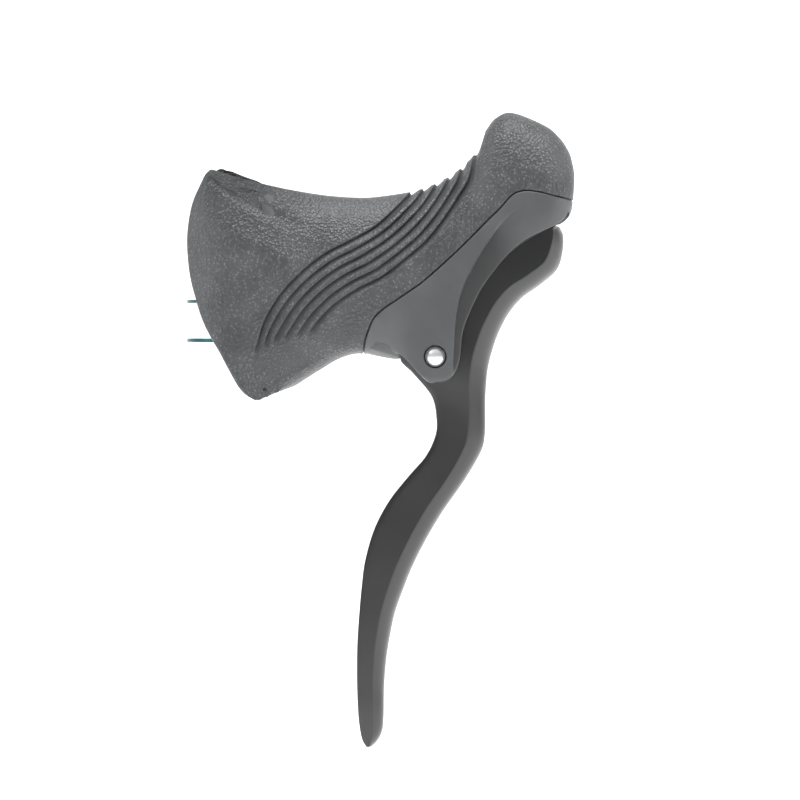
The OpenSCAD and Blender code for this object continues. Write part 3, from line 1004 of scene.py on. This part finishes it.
@dataclass
class Bracket(Assembly):
    """The moulded bracket: the cheeks that show below the hood, and the body inside it."""

    skin: Skin = field(default_factory=lambda: Skin(columns=220, cell=0.7))
    thickness: float = 2.6
    seam_gap: float = 0.25
    seam_round: float = 0.45
    tongue: float = 0.9
    tongue_depth: float = 1.2
    edge_round: Graph = Graph(((38, 2.3), (44, 2.1), (50, 1.3), (56, 0.6), (84, 0.5)))
    crescent_depth: float = 0.5
    core_half: float = 10.5
    rear: float = 27.0
    ear_margin: float = 0.12
    slot: tuple[Numbers, ...] = (
        (39.3, -40), (39.3, -7.6), (41, -1.5), (45, 3.5), (52, 11), (54, 17.5), (58.5, 22.4), (66, 24.8),
        (75.5, 27.2), (95, 27.2), (95, -40),
    )
    slot_half: float = 8.2
    pin_seat: float = 2.85

    def cheek_drop(self, x: float, z: float) -> float:
        """How far the cheek's surface lies below the skin at a place."""
        inside = -self.seam_gap - SEAM.above(x, z)
        if inside < -0.015:
            return self.tongue_depth
        seam = rounded_edge(inside, self.seam_round)
        edge = rounded_edge(EAR_EDGE.above(x, z) + self.ear_margin, self.edge_round(x))
        return seam + edge + self.crescent_depth * self.in_crescent(x, z)

    def in_crescent(self, x: float, z: float) -> float:
        """How far a place on the cheek is inside the sunk crescent, from 0 to 1."""
        along = CRESCENT.along(x, z)
        shown = smoothstep((along - 35) / 3) * (1 - smoothstep((along - 62) / 12))
        return shown * smoothstep(-CRESCENT.above(x, z) / 0.45)

    def build(self) -> None:
        """Builds the cheeks and dresses the body."""
        bm = self.skin.sheet()
        far = [v for v in bm.verts if v.co.x < self.rear or SEAM.above(v.co.x, v.co.z) > 2]
        bmesh.ops.delete(bm, geom=far, context="VERTS")
        gap = self.seam_gap
        seam_cuts = [
            (-gap - 0.45, 0.1), (-gap - 0.22, 0.06), (-gap - 0.08, 0.03), (-gap, 0.012),
            (0.03 - gap, 0.012), (self.tongue, 0.05),
        ]
        ear_cuts = [
            (-self.ear_margin, 0.02), (-0.04, 0.03), (0.1, 0.05), (0.3, 0.08), (0.6, 0.1), (1.05, 0.1),
            (1.6, 0.1), (2.3, 0.1),
        ]
        cut_along(bm, SEAM, seam_cuts, drop_above=True)
        cut_along(bm, EAR_EDGE, ear_cuts, drop_below=True)
        cut_along(bm, CRESCENT, [(-0.45, 0.1), (-0.22, 0.05), (0, 0.05)])
        # painted shade: each vertex keeps how far it is inside the crescent, for darkening the colour there
        recess = bm.verts.layers.float.new("recess")
        wall = thicken(bm, self.thickness)
        for vert in wall.number:
            if vert not in wall.inner:
                vert[recess] = self.in_crescent(vert.co.x, vert.co.z)
                vert.co -= wall.out(vert) * self.cheek_drop(vert.co.x, vert.co.z)
        bmesh.ops.recalc_face_normals(bm, faces=bm.faces[:])
        piece = to_object(bm, "bracket_cheeks", 40)
        carve(piece, [cross_prism(self.slot, self.slot_half), cross_cylinder(PIVOT, self.pin_seat, 30)])
        piece.data.shade_smooth()
        piece.data.set_sharp_from_angle(angle=math.radians(40))
        self.place(piece, "bracket", "bracket_moulding", Finish.BRACKET)
        self.build_core()
        self.softened("lever_stop_pad", 0.3, Finish.PAD, "pad_rubber", "bracket")

    def build_core(self) -> None:
        """Shows a copy of the body whose flanks lie inside the cheeks."""
        bm = self.copied("bracket_body")
        for vert in bm.verts:
            x, y, z = vert.co
            if x > 31.4 and abs(y) > self.core_half and SEAM.above(x, z) < 0.6:
                vert.co.y = math.copysign(self.core_half, y)
        bmesh.ops.dissolve_degenerate(bm, edges=bm.edges[:], dist=1e-3)
        core = to_object(bm, "bracket_core", 30)
        self.place(core, "bracket", "bracket_moulding", Finish.BRACKET, ["bracket_body"])


# ---- Blade ----


@dataclass
class Blade(Assembly):
    """The lever blade: a rounded front, a crease each side, flat sides, and a channel up its upper back.

    Each section runs from a point on the front edge to one on the back edge, as
    [front x, front z, back x, back z].
    """

    sections: tuple[Numbers, ...] = (
        (80.2, 23.4, 77.5, 24), (81.1, 21.2, 72.5, 23.4), (80.9, 17.2, 67.5, 22.5),
        (79.5, 12.8, 63.5, 21.6), (75.4, 9.1, 60, 19.8), (70.7, 5.7, 57.3, 16.6), (67.4, 1.8, 55.2, 12.2),
        (65.1, -2.5, 52.3, 6.8), (63.5, -6.8, 48.6, 1.5), (62.3, -11.5, 43.6, -4.2),
        (61.8, -16, 40.3, -9.3), (61.6, -20, 43.6, -13.2), (61.6, -24, 48.2, -18.9),
        (61.5, -28.2, 49.4, -24.8), (60.9, -31.7, 49, -28.9), (58.9, -35.7, 46.7, -33.8),
        (55.6, -41, 42.5, -38.7), (50.9, -47.7, 37.6, -44.9), (46.9, -54.4, 33.9, -51.8),
        (43.5, -61.1, 31.6, -59.5), (41.1, -67, 30.7, -66), (39, -73, 30, -74), (37.7, -79.1, 29.6, -80.5),
        (36.8, -85.1, 29.5, -87), (36.3, -91.8, 29.6, -93.5), (36.2, -98.5, 29.9, -99),
        (35.8, -102.6, 30.4, -102.8), (34.5, -105.1, 31, -105), (33.2, -106.3, 31.9, -106.4),
    )
    half_width: Graph = Graph((
        (-106.9, 2.9), (-101, 4.3), (-88, 5.3), (-66, 6.0), (-45, 6.1), (-26, 6.4), (-12, 7.3), (-4, 7.4),
    ))
    crown: Graph = Graph((
        (-107, 2.2), (-98, 2.9), (-60, 4.0), (10, 4.0), (20, 3.0), (24, 2.2),
    ))
    wall: float = 1.75
    front_wall: float = 2.4
    channel_end: float = -42.0
    channel_fade: float = 9.0
    widest: float = 7.4
    crease: float = 0.12
    row_step: float = 0.7
    fillet: float = 0.35
    closing: Numbers = (0.0, 0.45, 0.8, 0.95)
    end_bulge: float = 0.35

    def outline(self, front: Vector, back: Vector) -> list[tuple[float, float]]:
        """Half of a section, from the middle of the front to the middle of the back.

        Args:
            front: the section's point on the front edge.
            back: its point on the back edge.

        Returns:
            Pairs of how deep behind the front edge, and how far out to the side.
        """
        depth = (back - front).length
        half = min(self.half_width(front.z), self.widest)
        crown = min(self.crown(front.z), depth * 0.45)
        hollow = smoothstep((front.z - self.channel_end) / self.channel_fade)
        floor = max(depth - (depth - self.front_wall - 1.2) * hollow - 0.35 * (1 - hollow), depth * 0.55)
        floor = min(floor, depth - 0.3)
        wall = min(self.wall, half * 0.4)
        r = min(self.fillet, (depth - floor) * 0.45, wall * 0.3)
        inner = half - wall
        flank = crown + self.crease
        arc = (0.5, 1.05, math.pi / 2)
        points = [(crown * (k / 14) ** 2.3, half * k / 14) for k in range(14)]
        points += [(crown * 0.965, half * 0.9935), (crown, half), (flank, half)]
        points += [(flank + (depth - r - flank) * k / 6, half) for k in range(1, 7)]
        points += [(depth - r + r * math.sin(a), half - r + r * math.cos(a)) for a in arc]
        points += [(depth - r + r * math.cos(a), inner + r - r * math.sin(a)) for a in (0, *arc)]
        points += [(depth - r + (floor - depth + 2 * r) * k / 4, inner) for k in range(1, 5)]
        points += [(floor + r - r * math.sin(a), inner - r + r * math.cos(a)) for a in arc]
        points += [(floor, (inner - r) * (1 - k / 4)) for k in range(1, 5)]
        return points

    def rows(self) -> tuple[list[float], list[float]]:
        """Where the mesh's rows go along the sections, and how far each is drawn in to close the ends."""
        rows = []
        for i, (a, b) in enumerate(zip(self.sections, self.sections[1:])):
            length = math.dist([(a[0] + a[2]) / 2, (a[1] + a[3]) / 2], [(b[0] + b[2]) / 2, (b[1] + b[3]) / 2])
            count = max(round(length / self.row_step), 2)
            rows += [i + k / count for k in range(count)]
        ends = len(self.closing)
        drawn_in = [*self.closing, *[1.0] * (len(rows) + 1), *reversed(self.closing)]
        return [0.0] * ends + rows + [float(len(self.sections) - 1)] * (ends + 1), drawn_in

    def build(self) -> None:
        """Builds the blade and dresses its bushes."""
        rows, drawn_in = self.rows()
        lines = []
        for at in rows:
            front_x, front_z, back_x, back_z = catmull(self.sections, at)
            front = Vector((front_x, 0, front_z))
            back = Vector((back_x, 0, back_z))
            lines.append((front, back, self.outline(front, back)))
        count = len(lines[0][2])
        across_count = 2 * count - 2

        def place(across: float, up: float) -> Vector:
            """Where a vertex of the blade goes."""
            row = round(up * (len(rows) - 1))
            front, back, outline = lines[row]
            column = round(across * across_count)
            side = 1 if column < count else -1
            depth, out = outline[column if column < count else across_count - column]
            inward = (back - front).normalized()
            point = front + inward * depth + Vector((0, side * out, 0))
            if drawn_in[row] < 1:
                middle = front + (back - front) / 2
                end = Vector((inward.z, 0, -inward.x)) * (1 if rows[row] == rows[-1] else -1)
                bulge = self.end_bulge * math.sqrt(1 - drawn_in[row] ** 2)
                point = middle + (point - middle) * drawn_in[row] + end * bulge
            return point

        bm = mapped_grid(across_count, len(rows) - 1, place)
        piece = to_object(bm, "blade", 30)
        self.place(piece, "lever", "blade_paint", Finish.BLADE, ["lever_blade"])
        for node in ("pivot_bush_left", "pivot_bush_right", "anchor_bush_left", "anchor_bush_right"):
            self.dress(node, Finish.NYLON)


# ---- Pivot and return spring ----


@dataclass
class Pivot(Assembly):
    """The pivot pin, its lock screw, the spring and the sleeve that the spring is wound round."""

    coil: float = 4.5
    wire: float = 1.1
    turns: int = 5
    half: float = 3.6

    def spring_line(self) -> list[Vector]:
        """The spring's centreline: its back leg, its coil and its front leg."""
        steps = 36 * self.turns
        start = math.radians(140)
        line = [Vector((42.9, -self.half, -0.9)), Vector((43.8, -self.half, -2.6))]
        for k in range(steps + 1):
            angle = start - 2 * math.pi * self.turns * k / steps
            out = Vector((math.cos(angle), 0, math.sin(angle))) * self.coil
            line.append(Vector((PIVOT[0], self.half * (2 * k / steps - 1), PIVOT[1])) + out)
        return line + [Vector((x, self.half, z)) for x, z in ((55, -3.6), (58, -1.6), (62, 0.6))]

    def build(self) -> None:
        """Builds the spring and dresses the rest."""
        spring = round_wire("wound_spring", self.spring_line(), self.wire / 2, 14)
        self.place(spring, "bracket", "spring_steel", Finish.SPRING, ["return_spring"])
        self.softened("pivot_pin", 0.2, Finish.PIN, "pin_steel", "bracket", 24)
        self.softened("pivot_lock_screw", 0.12, Finish.BOLT, "bolt_steel", "bracket")
        self.dress("spring_sleeve", Finish.NYLON)


@dataclass
class BarClamp(Assembly):
    """The plated band, its nut, and the bolt that draws it up."""

    def build(self) -> None:
        """Shows each piece with its edges rounded."""
        self.softened("clamp_band", 0.18, Finish.BAND, "zinc_steel", "clamp")
        self.softened("clamp_nut", 0.35, Finish.ZINC, "zinc_steel", "clamp")
        self.softened("clamp_bolt", 0.3, Finish.BOLT, "bolt_steel", "bolt")
        self.softened("bolt_keeper_ring", 0.12, Finish.SPRING, "spring_steel", "bolt")
        self.softened("clamp_washer", 0.15, Finish.ZINC, "zinc_steel", "bracket")


@dataclass
class CableSeat(Assembly):
    """What takes the brake cable: the housing's ferrule, the liner and the anchor in the blade."""

    def build(self) -> None:
        """Shows each piece."""
        self.softened("housing_ferrule", 0.2, Finish.BRASS, "brass", "bracket")
        self.softened("cable_anchor", 0.25, Finish.BOLT, "bolt_steel", "anchor")
        self.dress("cable_liner", Finish.NYLON)


# ---- Studio ----


@dataclass(frozen=True)
class Softbox:
    """A square area light that faces the part."""

    name: str
    place: Numbers
    size: float
    power: float

    def build(self, target: Vector) -> None:
        """Adds the light."""
        data = bpy.data.lights.new(self.name, "AREA")
        data.size = self.size
        data.energy = self.power
        lamp = bpy.data.objects.new(self.name, data)
        lamp.location = self.place
        lamp.rotation_euler = (target - Vector(self.place)).to_track_quat("-Z", "Y").to_euler()
        bpy.context.scene.collection.objects.link(lamp)


@dataclass(frozen=True)
class Studio:
    """A pale seamless floor, soft lights, and the camera square to the part's right side."""

    target: Numbers = (0.04025, 0.0, -0.01975)
    distance: float = 2.0
    field: float = 0.2
    sensor: float = 36.0
    floor: float = -0.165
    floor_near: float = -3.0
    floor_run: float = 2.6
    floor_bend: float = 0.8
    floor_height: float = 4.0
    floor_half: float = 4.0
    floor_flat: float = 0.4
    dim: float = 0.06
    bright: float = 1.0
    sky: float = 1.1
    glow: float = 0.45
    lights: tuple[Softbox, ...] = (
        Softbox("key", (-1.05, -0.3, 0.35), 0.45, 7.0),
        Softbox("fill", (1.1, -0.3, 0.35), 0.6, 8.0),
        Softbox("top", (0.1, -0.3, 1.2), 0.7, 24.0),
        Softbox("front", (-0.85, -1.2, 0.95), 0.25, 3.0),
    )

    def build(self) -> None:
        """Adds everything to the scene."""
        scene = bpy.context.scene
        scene.view_settings.view_transform = "Standard"
        self.build_camera(scene)
        self.build_floor()
        for light in self.lights:
            light.build(Vector(self.target))
        scene.world = self.surroundings()

    def surroundings(self) -> bpy.types.World:
        """White all round: brightest behind the part and above it, and dimmer on the camera's side."""
        bench = Bench(bpy.data.worlds.new("studio"))
        direction = bench.add("ShaderNodeTexCoord", {}, {}, "Generated")
        behind = bench.add("ShaderNodeSeparateXYZ", {}, {0: direction}, "Y").between(-0.6, 0.5)
        overhead = bench.add("ShaderNodeSeparateXYZ", {}, {0: direction}, "Z").between(0.0, 0.95)
        strength = self.dim + (self.bright - self.dim) * behind + self.sky * overhead * (1 - behind)
        shade = bench.add("ShaderNodeBackground", {}, {"Color": (1, 1, 1, 1), "Strength": strength})
        bench.add("ShaderNodeOutputWorld", {}, {"Surface": shade}, None)
        return bench.owner

    def build_camera(self, scene: bpy.types.Scene) -> None:
        """Adds a long-lens camera that looks along +Y."""
        data = bpy.data.cameras.new("camera")
        data.sensor_width = self.sensor
        data.lens = self.sensor * self.distance / self.field
        data.clip_end = 50
        camera = bpy.data.objects.new("camera", data)
        camera.location = Vector(self.target) - Vector((0, self.distance, 0))
        camera.rotation_euler = (math.radians(90), 0, 0)
        scene.collection.objects.link(camera)
        scene.camera = camera

    def build_floor(self) -> None:
        """Adds a floor that curves up behind the part."""
        run, bend, near, flat = self.floor_run, self.floor_bend, self.floor_near, self.floor_flat

        def place(across: float, up: float) -> Vector:
            """Where a vertex of the floor goes."""
            x = (across * 2 - 1) * self.floor_half
            if up < flat:
                return Vector((x, near + (run - bend - near) * up / flat, self.floor))
            if up < 2 * flat:
                angle = (up - flat) / flat * math.pi / 2
                height = self.floor + bend * (1 - math.cos(angle))
                return Vector((x, run - bend + bend * math.sin(angle), height))
            wall = (self.floor_height - bend) * (up - 2 * flat) / (1 - 2 * flat)
            return Vector((x, run, self.floor + bend + wall))

        bm = mapped_grid(8, 40, place)
        bmesh.ops.reverse_faces(bm, faces=[f for f in bm.faces if f.normal.z < -1e-3 or f.normal.y > 1e-3])
        mesh = bpy.data.meshes.new("floor")
        bm.to_mesh(mesh)
        bm.free()
        mesh.shade_smooth()
        floor = bpy.data.objects.new("floor", mesh)
        bpy.context.scene.collection.objects.link(floor)
        bench = Bench(bpy.data.materials.new("pale_floor"))
        tone = bench.noise(400, 2)
        mesh.materials.append(bench.finish(
            base_color=bench.colour(tone, (0.93, 0.93, 0.93), (0.95, 0.95, 0.95)), roughness=0.9,
            emission_color=(1, 1, 1, 1), emission_strength=self.glow,
        ))


def main() -> None:
    """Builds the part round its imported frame."""
    logging.basicConfig(level=logging.INFO, format="%(message)s")
    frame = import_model()
    Studio().build()
    for kind in (Hood, Bracket, Blade, Pivot, BarClamp, CableSeat):
        kind(frame).build()


if __name__ == "__main__":
    main()
